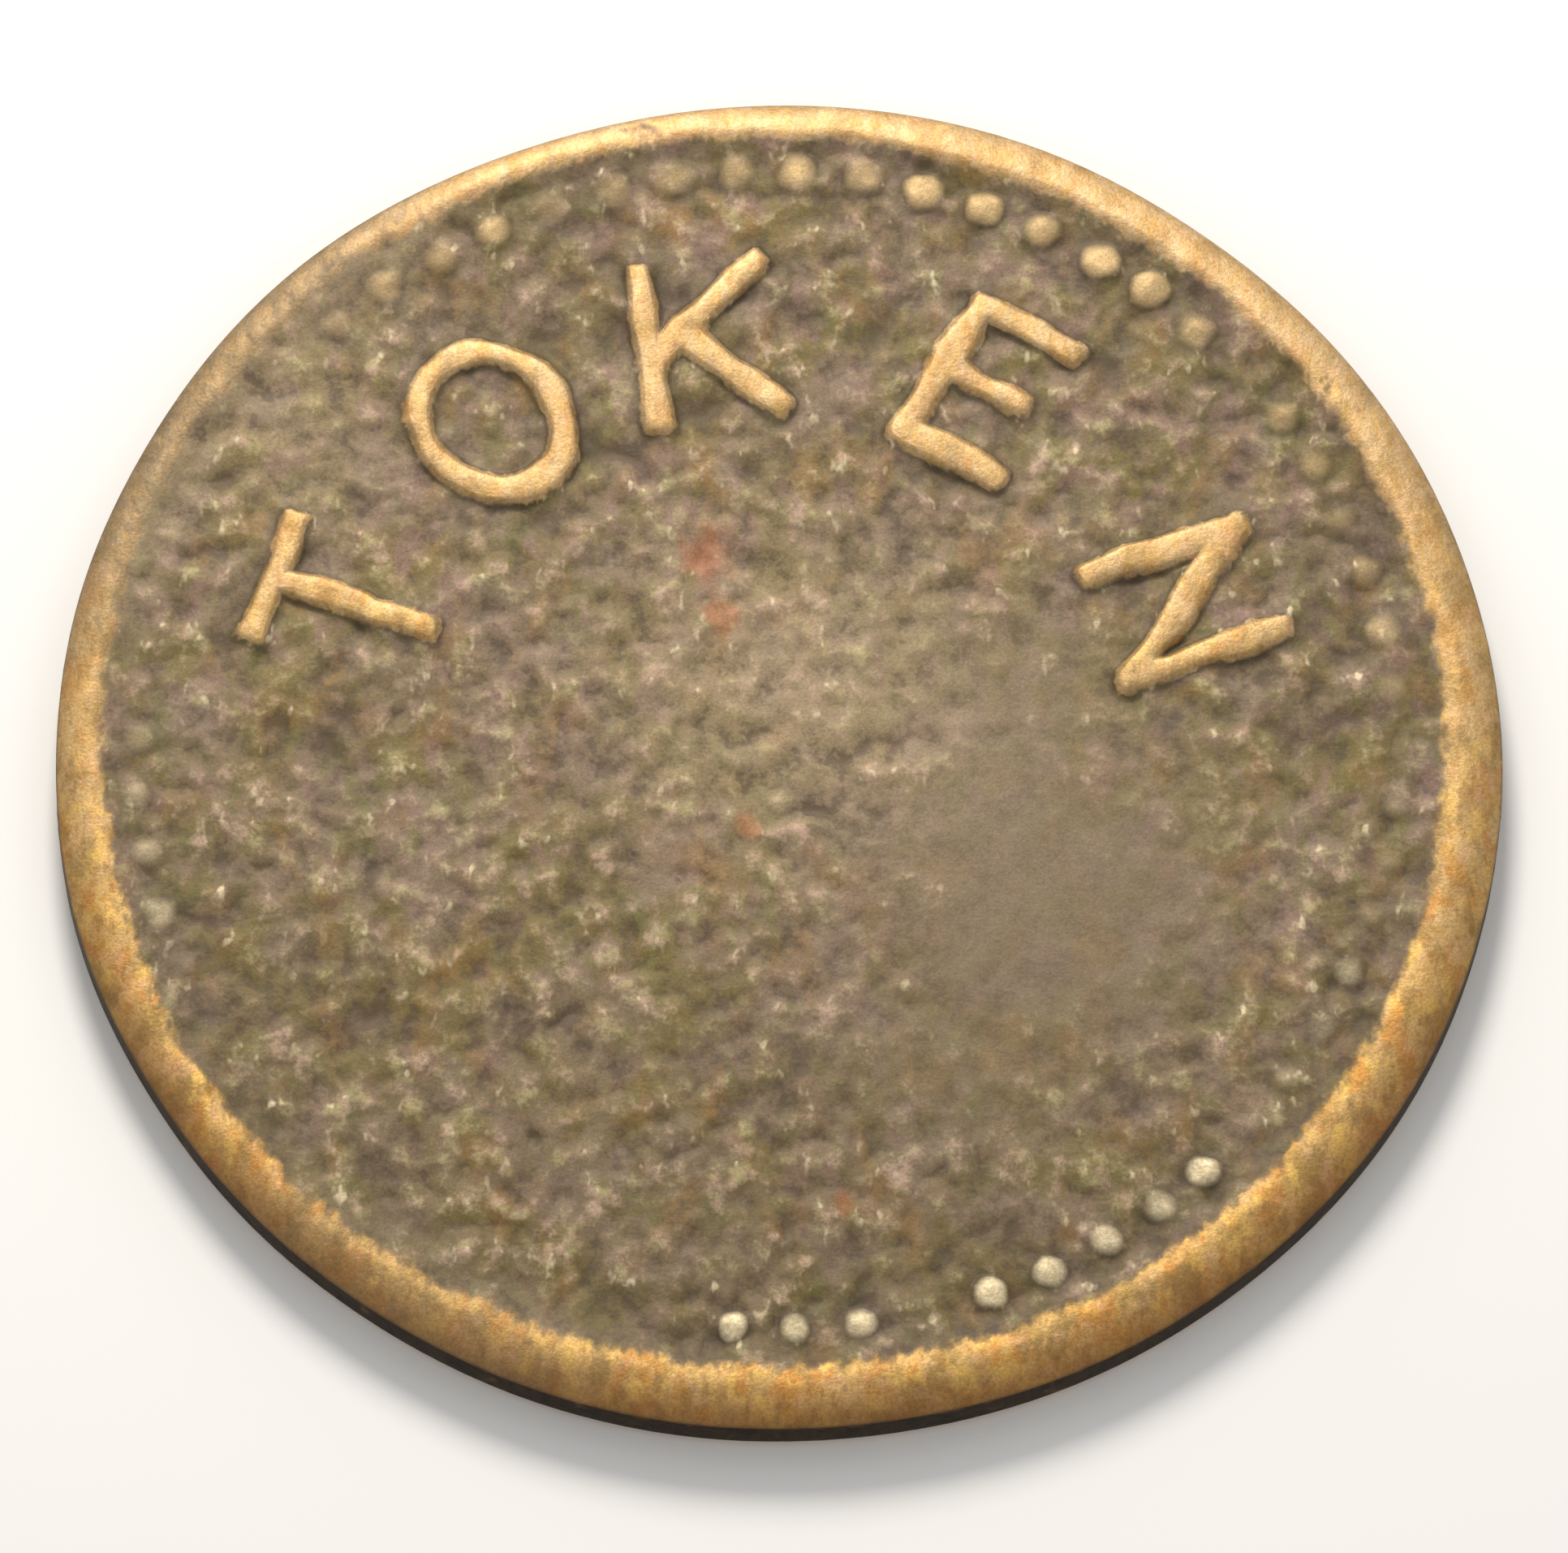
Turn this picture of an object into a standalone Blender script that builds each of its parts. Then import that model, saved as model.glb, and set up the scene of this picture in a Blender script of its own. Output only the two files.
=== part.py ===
"""A struck brass transit token, lying on its back face with the lettered face up.

The token is one piece of metal. A plain round blank is recessed on both faces, which leaves a
raised rim, and the border beads and the letters stand up from the recessed fields. The strike sits
a little off the centre of the blank, so the rim is wider on one side.
"""

import math

import bmesh
import bpy
from mathutils import Matrix, Vector

# The blank
DIAMETER = 0.0240
THICKNESS = 0.0010
EDGE_ROUND = 0.00018
EDGE_ROUND_STEPS = 3
BLANK_SIDES = 96

# The strike, the same on both faces
STRIKE_OFFSET = Vector((-0.00020, 0.00022, 0.0))
FIELD_DEPTH = 0.00017
FIELD_RADIUS = 0.01105
RIM_INNER_RADIUS = 0.01120
CUTTER_HEIGHT = 0.0020

# The bead border
BEAD_COUNT = 62
BEAD_RING_RADIUS = 0.01046
BEAD_RADIUS = 0.00027
BEAD_RELIEF = 0.00012
BEAD_SINK = 0.00002
BEAD_SIDES = 8
BEAD_RINGS = 4
FIRST_BEAD_ANGLE = math.radians(81.7)

# The letters: drafted strokes of one width
STROKE_WIDTH = 0.00056
STROKE_DRAFT = 0.00008
STROKE_SIDES = 12
LETTER_RELIEF = 0.00014
STROKE_SINK = 0.00010
CAP_HEIGHT = 0.0032
LETTER_RADIUS = 0.0074
ROUND_LETTER_STEPS = 32

# The numeral on the back face
NUMERAL_HEIGHT = 0.0100
NUMERAL_STROKE = 0.00120

# Each letter's angle from +X, its width over the strokes, and its strokes. A stroke is a pair of
# ends in a box that runs from 0 to 1 across and up; None stands for one closed round stroke.
LEGEND = (
    (161.0, 0.0025, (((0.0, 1.0), (1.0, 1.0)), ((0.5, 1.0), (0.5, 0.0)))),
    (129.0, 0.0028, None),
    (
        98.3,
        0.0025,
        (
            ((0.0, 1.0), (0.0, 0.0)),
            ((1.0, 1.0), (0.0, 0.38)),
            ((0.30, 0.56), (1.0, 0.0)),
        ),
    ),
    (
        60.5,
        0.0022,
        (
            ((0.0, 1.0), (0.0, 0.0)),
            ((0.0, 1.0), (1.0, 1.0)),
            ((0.0, 0.52), (0.85, 0.52)),
            ((0.0, 0.0), (1.0, 0.0)),
        ),
    ),
    (
        20.5,
        0.0025,
        (
            ((0.0, 0.0), (0.0, 1.0)),
            ((0.0, 1.0), (1.0, 0.0)),
            ((1.0, 0.0), (1.0, 1.0)),
        ),
    ),
)
NUMERAL_STROKES = (
    ((0.5, 1.0), (0.5, 0.0)),
    ((0.0, 0.74), (0.5, 1.0)),
    ((0.0, 0.0), (1.0, 0.0)),
)
NUMERAL_WIDTH = 0.0046

BRASS_COLOUR = (0.52, 0.40, 0.20, 1.0)
BRASS_ROUGHNESS = 0.48

OBVERSE = Matrix.Translation(STRIKE_OFFSET)
REVERSE = (
    Matrix.Translation(STRIKE_OFFSET)
    @ Matrix.Translation((0.0, 0.0, THICKNESS))
    @ Matrix.Rotation(math.pi, 4, "X")
)
FIELD_LEVEL = THICKNESS - FIELD_DEPTH


def clear_scene():
    for obj in list(bpy.data.objects):
        bpy.data.objects.remove(obj, do_unlink=True)


def new_collection(name):
    collection = bpy.data.collections.new(name)
    bpy.context.scene.collection.children.link(collection)
    return collection


def brass():
    material = bpy.data.materials.new("token_brass")
    material.use_nodes = True
    shader = material.node_tree.nodes["Principled BSDF"]
    shader.inputs["Base Color"].default_value = BRASS_COLOUR
    shader.inputs["Metallic"].default_value = 1.0
    shader.inputs["Roughness"].default_value = BRASS_ROUGHNESS
    return material


def mesh_object(name, bm, collection, matrix=None):
    """An object that holds the bmesh's shape, moved by the matrix, with its faces turned outwards."""
    bmesh.ops.recalc_face_normals(bm, faces=bm.faces)
    mesh = bpy.data.meshes.new(name)
    bm.to_mesh(mesh)
    bm.free()
    if matrix is not None:
        mesh.transform(matrix)
    obj = bpy.data.objects.new(name, mesh)
    collection.objects.link(obj)
    return obj


def as_tool(obj):
    """Marks a helper of the strike, which is not a part itself."""
    obj.hide_render = True
    obj.display_type = "WIRE"
    return obj


def arc(centre_x, centre_z, radius, start_degrees, end_degrees, steps):
    points = []
    for step in range(steps + 1):
        angle = math.radians(start_degrees + (end_degrees - start_degrees) * step / steps)
        points.append((centre_x + radius * math.cos(angle), centre_z + radius * math.sin(angle)))
    return points


def blank(collection):
    """The plain disc before the strike: a half section turned about Z, with both edges rounded."""
    round_x = DIAMETER / 2 - EDGE_ROUND
    section = [(0.0, THICKNESS)]
    section += arc(round_x, THICKNESS - EDGE_ROUND, EDGE_ROUND, 90, 0, EDGE_ROUND_STEPS)
    section += arc(round_x, EDGE_ROUND, EDGE_ROUND, 0, -90, EDGE_ROUND_STEPS)
    section.append((0.0, 0.0))
    mesh = bpy.data.meshes.new("struck_token")
    edges = [(index, index + 1) for index in range(len(section) - 1)]
    mesh.from_pydata([(x, 0.0, z) for x, z in section], edges, [])
    obj = bpy.data.objects.new("struck_token", mesh)
    collection.objects.link(obj)
    turn = obj.modifiers.new("turn", "SCREW")
    turn.steps = BLANK_SIDES
    turn.render_steps = BLANK_SIDES
    turn.use_merge_vertices = True
    turn.merge_threshold = 0.000001
    return obj


def field_cutter(face, collection):
    """The drafted recess that leaves the rim standing round the field."""
    growth = (RIM_INNER_RADIUS - FIELD_RADIUS) / FIELD_DEPTH
    bm = bmesh.new()
    bmesh.ops.create_cone(
        bm,
        cap_ends=True,
        segments=BLANK_SIDES,
        radius1=FIELD_RADIUS,
        radius2=FIELD_RADIUS + growth * CUTTER_HEIGHT,
        depth=CUTTER_HEIGHT,
        matrix=Matrix.Translation((0.0, 0.0, FIELD_LEVEL + CUTTER_HEIGHT / 2)),
    )
    return as_tool(mesh_object("field_cutter", bm, collection, face))


def beads(face, collection):
    """The ring of small domes just inside the rim."""
    height = BEAD_RELIEF + BEAD_SINK
    bm = bmesh.new()
    for index in range(BEAD_COUNT):
        angle = FIRST_BEAD_ANGLE - index * math.tau / BEAD_COUNT
        place = Matrix.Rotation(angle, 4, "Z") @ Matrix.Translation(
            (BEAD_RING_RADIUS, 0.0, FIELD_LEVEL - BEAD_SINK)
        )
        bmesh.ops.create_uvsphere(
            bm,
            u_segments=BEAD_SIDES,
            v_segments=BEAD_RINGS,
            radius=1.0,
            matrix=place @ Matrix.Diagonal((BEAD_RADIUS, BEAD_RADIUS, height, 1.0)),
        )
    return as_tool(mesh_object("beads", bm, collection, face))


def straight_stroke(start, end, width, face, collection):
    """A bar with half-round ends and drafted sides: the hull of a short cone at each end."""
    depth = LETTER_RELIEF + STROKE_SINK
    flare = STROKE_DRAFT * depth / LETTER_RELIEF
    middle = FIELD_LEVEL + LETTER_RELIEF - depth / 2
    bm = bmesh.new()
    for place in (start, end):
        bmesh.ops.create_cone(
            bm,
            cap_ends=True,
            segments=STROKE_SIDES,
            radius1=width / 2 - STROKE_DRAFT + flare,
            radius2=width / 2 - STROKE_DRAFT,
            depth=depth,
            matrix=Matrix.Translation((place.x, place.y, middle)),
        )
    bmesh.ops.delete(bm, geom=bm.edges[:], context="EDGES_FACES")
    hull = bmesh.ops.convex_hull(bm, input=bm.verts[:])
    spare = [item for item in hull["geom_interior"] if isinstance(item, bmesh.types.BMVert)]
    bmesh.ops.delete(bm, geom=spare, context="VERTS")
    return as_tool(mesh_object("stroke", bm, collection, face))


def round_stroke(width, height, place, face, collection):
    """A closed oval stroke: a ring of drafted section, narrowed across."""
    depth = LETTER_RELIEF + STROKE_SINK
    flare = STROKE_DRAFT * depth / LETTER_RELIEF
    top = FIELD_LEVEL + LETTER_RELIEF
    half_top = STROKE_WIDTH / 2 - STROKE_DRAFT
    ring_radius = (height - STROKE_WIDTH) / 2
    section = (
        Vector((ring_radius - half_top, 0.0, top)),
        Vector((ring_radius + half_top, 0.0, top)),
        Vector((ring_radius + half_top + flare, 0.0, top - depth)),
        Vector((ring_radius - half_top - flare, 0.0, top - depth)),
    )
    bm = bmesh.new()
    corners = [bm.verts.new(point) for point in section]
    edges = [bm.edges.new((corners[i], corners[(i + 1) % len(corners)])) for i in range(len(corners))]
    bmesh.ops.spin(
        bm,
        geom=corners + edges,
        cent=(0.0, 0.0, 0.0),
        axis=(0.0, 0.0, 1.0),
        angle=math.tau,
        steps=ROUND_LETTER_STEPS,
        use_merge=True,
    )
    narrow = Matrix.Diagonal(((width - STROKE_WIDTH) / (height - STROKE_WIDTH), 1.0, 1.0, 1.0))
    return as_tool(mesh_object("round_stroke", bm, collection, face @ place @ narrow))


def letter(angle_degrees, width, strokes, face, collection):
    """One raised letter of the legend, its top away from the token's centre."""
    place = Matrix.Rotation(math.radians(angle_degrees - 90), 4, "Z") @ Matrix.Translation(
        (0.0, LETTER_RADIUS, 0.0)
    )
    if strokes is None:
        round_stroke(width, CAP_HEIGHT, place, face, collection)
        return
    span = Vector((width - STROKE_WIDTH, CAP_HEIGHT - STROKE_WIDTH))
    for ends in strokes:
        start, end = (
            place @ Vector(((x - 0.5) * span.x, (y - 0.5) * span.y, 0.0)) for x, y in ends
        )
        straight_stroke(start, end, STROKE_WIDTH, face, collection)


def numeral(face, collection):
    """A large plain figure one in the middle of the face."""
    for ends in NUMERAL_STROKES:
        start, end = (
            Vector(
                (
                    (x - 0.5) * (NUMERAL_WIDTH - NUMERAL_STROKE),
                    (y - 0.5) * (NUMERAL_HEIGHT - NUMERAL_STROKE),
                    0.0,
                )
            )
            for x, y in ends
        )
        straight_stroke(start, end, NUMERAL_STROKE, face, collection)


def strike(token, tools):
    """Recesses both fields, then raises the beads, the legend and the numeral from them."""
    relief = bpy.data.collections.new("strike_relief")
    tools.children.link(relief)
    for face in (OBVERSE, REVERSE):
        cut = token.modifiers.new("recess", "BOOLEAN")
        cut.operation = "DIFFERENCE"
        cut.solver = "EXACT"
        cut.object = field_cutter(face, tools)
        beads(face, relief)
    for angle_degrees, width, strokes in LEGEND:
        letter(angle_degrees, width, strokes, OBVERSE, relief)
    numeral(REVERSE, relief)
    raised = token.modifiers.new("relief", "BOOLEAN")
    raised.operation = "UNION"
    raised.solver = "EXACT"
    raised.operand_type = "COLLECTION"
    raised.collection = relief


def shade_round(obj):
    """Fixes the struck shape in the mesh and shades its round surfaces smooth."""
    graph = bpy.context.evaluated_depsgraph_get()
    struck = bpy.data.meshes.new_from_object(obj.evaluated_get(graph), depsgraph=graph)
    obj.modifiers.clear()
    obj.data = struck
    struck.shade_smooth()
    struck.set_sharp_from_angle(angle=math.radians(35))


def main():
    clear_scene()
    parts = new_collection("transit_token")
    tools = new_collection("strike_tools")
    token = blank(parts)
    token.data.materials.append(brass())
    strike(token, tools)
    shade_round(token)


main()
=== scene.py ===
"""The looks of a worn struck brass token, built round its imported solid.

One closed mesh stands for the token. Its two faces are height maps worked out here: rim, bead border,
letters, wear, pits and grain. Point attributes carry where the metal is rubbed bright and where it is
tarnished, and one node material turns them into patina and brass.
"""

import math

import bpy
import numpy as np
from mathutils import Matrix, Vector


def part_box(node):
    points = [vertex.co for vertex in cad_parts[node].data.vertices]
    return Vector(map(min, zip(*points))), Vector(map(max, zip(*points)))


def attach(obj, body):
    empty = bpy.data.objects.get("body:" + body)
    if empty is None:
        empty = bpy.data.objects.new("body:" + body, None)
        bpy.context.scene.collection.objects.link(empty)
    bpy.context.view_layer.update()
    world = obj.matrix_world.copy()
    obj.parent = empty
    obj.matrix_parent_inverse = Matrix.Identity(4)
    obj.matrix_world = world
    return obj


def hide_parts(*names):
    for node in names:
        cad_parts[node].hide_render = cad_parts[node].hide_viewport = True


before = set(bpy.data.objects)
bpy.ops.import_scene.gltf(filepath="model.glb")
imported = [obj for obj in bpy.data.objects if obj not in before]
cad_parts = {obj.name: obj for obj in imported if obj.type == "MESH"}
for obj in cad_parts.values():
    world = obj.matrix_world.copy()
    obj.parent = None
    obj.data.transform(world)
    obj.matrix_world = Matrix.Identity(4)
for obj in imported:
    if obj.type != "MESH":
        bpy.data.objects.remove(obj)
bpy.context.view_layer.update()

MM = 0.001

# From the frame
LOW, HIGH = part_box("struck_token")
RADIUS = (HIGH.x - LOW.x) / 2
THICKNESS = HIGH.z - LOW.z

# The strike, as in the solid
STRIKE_X = -0.20 * MM
STRIKE_Y = 0.22 * MM
FIELD_DEPTH = 0.17 * MM
RIM_INNER_RADIUS = 11.01 * MM
RIM_SLOPE = 0.52 * MM

# The rim is worn to a quarter ellipse on each side: how far in it starts, how far down it comes, and
# how far round it the face reaches before the wall takes over
EDGE_WIDTH = 0.78 * MM
EDGE_DROP = 0.24 * MM
FACE_END = math.radians(58)

BEAD_COUNT = 62
BEAD_RING_RADIUS = 10.46 * MM
BEAD_RADIUS = 0.35 * MM
BEAD_RELIEF = 0.120 * MM
FIRST_BEAD = math.radians(81.7)

STROKE_WIDTH = 0.52 * MM
STROKE_SLOPE = 0.18 * MM
STROKE_BLEND = 0.06 * MM
LETTER_RELIEF = 0.15 * MM
CAP_HEIGHT = 3.2 * MM
LETTER_RADIUS = 7.4 * MM

NUMERAL_WIDTH = 4.6 * MM
NUMERAL_HEIGHT = 10.0 * MM
NUMERAL_STROKE = 1.2 * MM

# How fine the mesh is: cells across each face before thinning, and the triangles kept
FACE_CELLS = 520
KEPT_TRIANGLES = 196_000

# Faces whose normals lean further than this from straight out are taken for folds, and smoothed away
STEEPEST = 0.35
UNFOLD_ROUNDS = 12

# Each letter's angle from +X in degrees, its width, and its strokes in a box from 0 to 1 each way
LETTERS = (
    (161.0, 2.5 * MM, (((0.0, 1.0), (1.0, 1.0)), ((0.5, 1.0), (0.5, 0.0)))),
    (129.0, 2.8 * MM, "round"),
    (98.3, 2.5 * MM, (((0.0, 1.0), (0.0, 0.0)), ((1.0, 1.0), (0.0, 0.38)), ((0.30, 0.56), (1.0, 0.0)))),
    (
        60.5,
        2.2 * MM,
        (
            ((0.0, 1.0), (0.0, 0.0)),
            ((0.0, 1.0), (1.0, 1.0)),
            ((0.0, 0.52), (0.85, 0.52)),
            ((0.0, 0.0), (1.0, 0.0)),
        ),
    ),
    (20.5, 2.5 * MM, (((0.0, 0.0), (0.0, 1.0)), ((0.0, 1.0), (1.0, 0.0)), ((1.0, 0.0), (1.0, 1.0)))),
)
NUMERAL = (((0.5, 1.0), (0.5, 0.0)), ((0.0, 0.74), (0.5, 1.0)), ((0.0, 0.0), (1.0, 0.0)))

# What is left of a bead where the border is worn, and of every bead on the back
WORN_BEAD_LEFT = 0.16
BACK_BEAD_LEFT = 0.75

# Stretches of the border where the beads are better kept: share left, then the middle, half length
# and fade in degrees
BEAD_ARCS = (
    (1.00, 64, 15, 6),
    (0.66, 96, 10, 8),
    (0.50, 22, 16, 10),
    (0.62, 122, 10, 10),
    (1.00, -58, 12, 5),
    (0.95, -86, 8, 4),
    (0.42, -22, 14, 10),
    (0.48, -170, 10, 10),
)

# Where the copper shows through as a stain: place from the strike's middle and radius, in millimetres
COPPER_SPOTS = (
    (-1.05, 3.32, 0.42),
    (-0.77, 2.28, 0.30),
    (1.34, -8.22, 0.16),
    (-0.30, -1.55, 0.20),
)

# Short ridges and creases left near the middle: both ends from the strike's middle, then height, in
# millimetres
MARKS = (
    (0.7, -0.35, 2.5, 0.15, -0.045),
    (1.3, 0.20, 2.3, 0.45, 0.030),
    (1.6, -0.60, 2.9, -0.40, 0.045),
    (-0.2, -0.90, 1.8, -1.35, -0.050),
    (-1.5, -1.35, 0.5, -1.65, 0.050),
    (-3.4, 0.40, -2.7, -0.70, -0.030),
)
MARK_WIDTH = 0.22 * MM

# The height of a mark that counts as a whole step of grain
MARK_SCALE = 0.10 * MM

# Where the field has stayed smooth: share, then place from the strike's middle, width and height, in
# millimetres
SMOOTH_HILLS = (
    (1.0, 4.6, -2.7, 2.9, 3.0),
    (0.6, 4.0, 0.4, 2.4, 2.6),
    (0.6, 3.4, -5.4, 2.6, 1.9),
)

# How far the grain and the pits of the field depart from it
GRAIN_RELIEF = 0.150 * MM
PIT_DEPTH = 0.030 * MM

# Heights of the slow swell of each face and of the nicks in the rim
SWELL_RELIEF = 0.014 * MM
NICK_DEPTH = 0.020 * MM

# How far dirt, and painted shade standing for the shadow at their feet, reach out from the foot of a
# letter, bead or the rim
DIRT_AND_SHADE_REACH = 0.24 * MM


# ---------------------------------------------------------------- noise

LATTICE = 128


def smooth(t):
    """A smooth step from 0 to 1 as t goes from 0 to 1."""
    t = np.clip(t, 0.0, 1.0)
    return t * t * (3.0 - 2.0 * t)


def between(value, low, high):
    return smooth((value - low) / (high - low))


def turned(x, y, degrees):
    c, s = math.cos(math.radians(degrees)), math.sin(math.radians(degrees))
    return c * x - s * y, s * x + c * y


def noise(x, y, cell, seed):
    """Gradient noise from about -1 to 1, its features about one cell across."""
    rng = np.random.default_rng(seed)
    angles = rng.uniform(0.0, math.tau, (LATTICE, LATTICE))
    gx, gy = np.cos(angles), np.sin(angles)
    x, y = turned(x, y, 17.0 + 31.0 * seed)
    u = x / cell + 0.5 * LATTICE
    v = y / cell + 0.5 * LATTICE
    i, j = np.floor(u).astype(int), np.floor(v).astype(int)
    fu, fv = u - i, v - j
    su = fu * fu * fu * (fu * (fu * 6.0 - 15.0) + 10.0)
    sv = fv * fv * fv * (fv * (fv * 6.0 - 15.0) + 10.0)

    def corner(di, dj):
        a, b = (i + di) % LATTICE, (j + dj) % LATTICE
        return gx[a, b] * (fu - di) + gy[a, b] * (fv - dj)

    low = corner(0, 0) * (1 - su) + corner(1, 0) * su
    high = corner(0, 1) * (1 - su) + corner(1, 1) * su
    return 1.5 * (low * (1 - sv) + high * sv)


def fractal(x, y, cell, octaves, seed, gain=0.5):
    total, size, span = 0.0, 1.0, 0.0
    for octave in range(octaves):
        total = total + size * noise(x, y, cell / 2**octave, seed + 7 * octave)
        span += size
        size *= gain
    return total / span


def pebbles(x, y, cell, seed):
    """Rounded grains: 1 at the middle of each, down to 0 between them."""
    rng = np.random.default_rng(seed)
    offset = rng.uniform(0.1, 0.9, (LATTICE, LATTICE, 2))
    size = rng.uniform(0.7, 1.25, (LATTICE, LATTICE))
    x, y = turned(x, y, 23.0 + 47.0 * seed)
    u = x / cell + 0.5 * LATTICE
    v = y / cell + 0.5 * LATTICE
    i, j = np.floor(u).astype(int), np.floor(v).astype(int)
    best = np.full(np.shape(x), 9.0)
    for di in (-1, 0, 1):
        for dj in (-1, 0, 1):
            a, b = (i + di) % LATTICE, (j + dj) % LATTICE
            du = i + di + offset[a, b, 0] - u
            dv = j + dj + offset[a, b, 1] - v
            best = np.minimum(best, (du * du + dv * dv) / size[a, b] ** 2)
    return np.clip(1.0 - best, 0.0, 1.0)


# ---------------------------------------------------------------- the strike


def squared(a, b, power=4.0):
    """A distance whose contours are squares with rounded corners, rounder for a power nearer 2."""
    return (np.abs(a) ** power + np.abs(b) ** power) ** (1.0 / power)


def to_segment(x, y, start, end):
    """Distance from each point to a straight stroke's middle line, squared off past its ends."""
    dx, dy = end[0] - start[0], end[1] - start[1]
    length = math.hypot(dx, dy)
    dx, dy = dx / length, dy / length
    along = (x - start[0]) * dx + (y - start[1]) * dy
    past = np.maximum(np.abs(along - length / 2) - length / 2, 0.0)
    return squared(past, (y - start[1]) * dx - (x - start[0]) * dy)


def to_oval(x, y, half_width, half_height):
    """Distance to an upright oval line, near enough for a thin stroke."""
    scaled = np.hypot(x / half_width, y / half_height)
    steep = np.hypot(x / half_width**2, y / half_height**2) / np.maximum(scaled, 1e-6)
    return np.abs(scaled - 1.0) / np.maximum(steep, 1e-6)


def stroke_relief(distance, width, slope):
    """The profile across a stroke: a softly crowned top and drafted flanks."""
    half = width / 2
    flank = 1.0 - between(distance, half - slope * 0.5, half + slope * 0.5)
    crown = 1.0 - 0.07 * np.clip(distance / half, 0.0, 1.0) ** 2
    return flank * crown


def joined(first, second, blend):
    """The nearer of two distances, with a fillet where they meet."""
    share = np.clip(0.5 + 0.5 * (second - first) / blend, 0.0, 1.0)
    return second * (1.0 - share) + first * share - blend * share * (1.0 - share) * 0.5


def in_letter_box(x, y, angle_degrees):
    """Coordinates in a letter's own upright box, from its middle."""
    lx, ly = turned(x, y, 90.0 - angle_degrees)
    return lx, ly - LETTER_RADIUS


def glyph_distance(x, y, width, height, stroke, strokes):
    """Distance to the middle line of a letter or numeral."""
    span_x, span_y = width - stroke, height - stroke
    if strokes == "round":
        return to_oval(x, y, span_x / 2, span_y / 2)
    nearest = np.full(np.shape(x), 1.0)
    for ends in strokes:
        start, end = (((px - 0.5) * span_x, (py - 0.5) * span_y) for px, py in ends)
        nearest = joined(nearest, to_segment(x, y, start, end), STROKE_BLEND)
    return nearest


def legend_maps(x, y):
    """The arc of letters, 0 in the field and 1 on top of a stroke, and the dirt and painted shade round
    their feet.
    """
    wobble_x = x + 0.05 * MM * noise(x, y, 0.8 * MM, 11)
    wobble_y = y + 0.05 * MM * noise(x, y, 0.8 * MM, 12)
    nearest = np.full(np.shape(x), 1.0)
    for angle_degrees, width, strokes in LETTERS:
        lx, ly = in_letter_box(wobble_x, wobble_y, angle_degrees)
        nearest = np.minimum(nearest, glyph_distance(lx, ly, width, CAP_HEIGHT, STROKE_WIDTH, strokes))
    swell = 0.085 * MM * noise(x, y, 1.4 * MM, 15) + 0.03 * MM * noise(x, y, 0.45 * MM, 16)
    tips = between(np.hypot(x, y), 8.2 * MM, 9.3 * MM)
    relief = stroke_relief(nearest + swell + 0.03 * MM * tips, STROKE_WIDTH, STROKE_SLOPE)
    foot_dirt_and_shade = 1.0 - between(nearest, STROKE_WIDTH / 2, STROKE_WIDTH / 2 + DIRT_AND_SHADE_REACH)
    return relief * (1.0 - 0.22 * tips), foot_dirt_and_shade


def numeral_maps(x, y):
    wobble_x = x + 0.05 * MM * noise(x, y, 1.1 * MM, 13)
    wobble_y = y + 0.05 * MM * noise(x, y, 1.1 * MM, 14)
    nearest = glyph_distance(wobble_x, wobble_y, NUMERAL_WIDTH, NUMERAL_HEIGHT, NUMERAL_STROKE, NUMERAL)
    relief = stroke_relief(nearest, NUMERAL_STROKE, STROKE_SLOPE)
    return relief, 1.0 - between(nearest, NUMERAL_STROKE / 2, NUMERAL_STROKE / 2 + DIRT_AND_SHADE_REACH)


def arc_share(angle, middle_degrees, half_degrees, fade_degrees):
    """1 within an arc of the border, fading to 0 past its ends."""
    away = np.abs((np.degrees(angle) - middle_degrees + 180.0) % 360.0 - 180.0)
    return 1.0 - between(away, half_degrees, half_degrees + fade_degrees)


def bead_wear(angle):
    """How much of each bead is left, by its place round the border."""
    left = np.full(np.shape(angle), WORN_BEAD_LEFT)
    for share, middle, half, fade in BEAD_ARCS:
        left = np.maximum(left, share * arc_share(angle, middle, half, fade))
    return left


def bead_maps(x, y, lettered):
    """The ring of beads, 1 on top of an unworn one, and the dirt and painted shade round them."""
    rng = np.random.default_rng(21)
    strength = rng.uniform(0.62, 1.0, BEAD_COUNT)
    breadth = rng.uniform(0.90, 1.06, BEAD_COUNT)
    shift = rng.uniform(-0.05 * MM, 0.05 * MM, (BEAD_COUNT, 2))
    wobble = 1.0 + 0.18 * noise(x, y, 0.40 * MM, 22)
    angle = np.arctan2(y, x)
    pitch = math.tau / BEAD_COUNT
    index = np.round((FIRST_BEAD - angle) / pitch).astype(int)
    centre_angle = FIRST_BEAD - index * pitch
    index = index % BEAD_COUNT
    cx = BEAD_RING_RADIUS * np.cos(centre_angle) + shift[index, 0]
    cy = BEAD_RING_RADIUS * np.sin(centre_angle) + shift[index, 1]
    spread = BEAD_RADIUS * breadth[index] * (1.0 + 0.13 * np.sin(centre_angle))
    away = squared(x - cx, y - cy, power=2.3) / spread * wobble
    dome = np.clip(1.0 - away**2, 0.0, 1.0) ** 0.8
    left = bead_wear(centre_angle) if lettered else BACK_BEAD_LEFT
    foot_dirt_and_shade = (1.0 - between(away, 1.0, 1.0 + DIRT_AND_SHADE_REACH / BEAD_RADIUS)) * left
    return dome * strength[index] * left, foot_dirt_and_shade


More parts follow.
